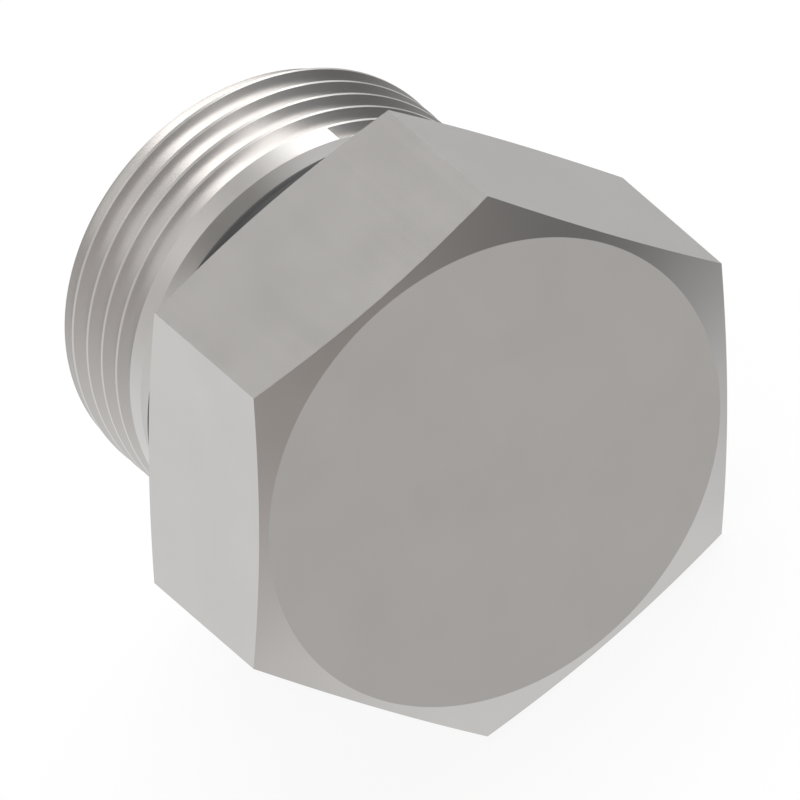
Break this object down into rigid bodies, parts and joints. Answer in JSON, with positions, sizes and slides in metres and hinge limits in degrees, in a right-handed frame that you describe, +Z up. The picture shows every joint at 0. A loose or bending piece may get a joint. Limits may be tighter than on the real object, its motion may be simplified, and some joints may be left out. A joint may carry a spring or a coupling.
{
  "type": "o-ring plug",
  "caption": "Hexagon-head screw plug with a threaded stud and a rubber sealing ring in the groove behind the head.",
  "frame": {"origin": "on the plug's axis, in the plane of the head's back face, which is the sealing face", "axes": "+Y along the plug's axis, from the head to the stud's tip; +Z up; the plug lies on one flat of its hexagon"},
  "size_m": [0.0324, 0.0251, 0.028],
  "materials": {
    "steel": "fine machined stainless steel, satin",
    "rubber": "smooth black rubber, slightly shiny"
  },
  "bodies": {
    "root": {"plug_body": "steel", "o_ring": "rubber"}
  },
  "joints": []
}
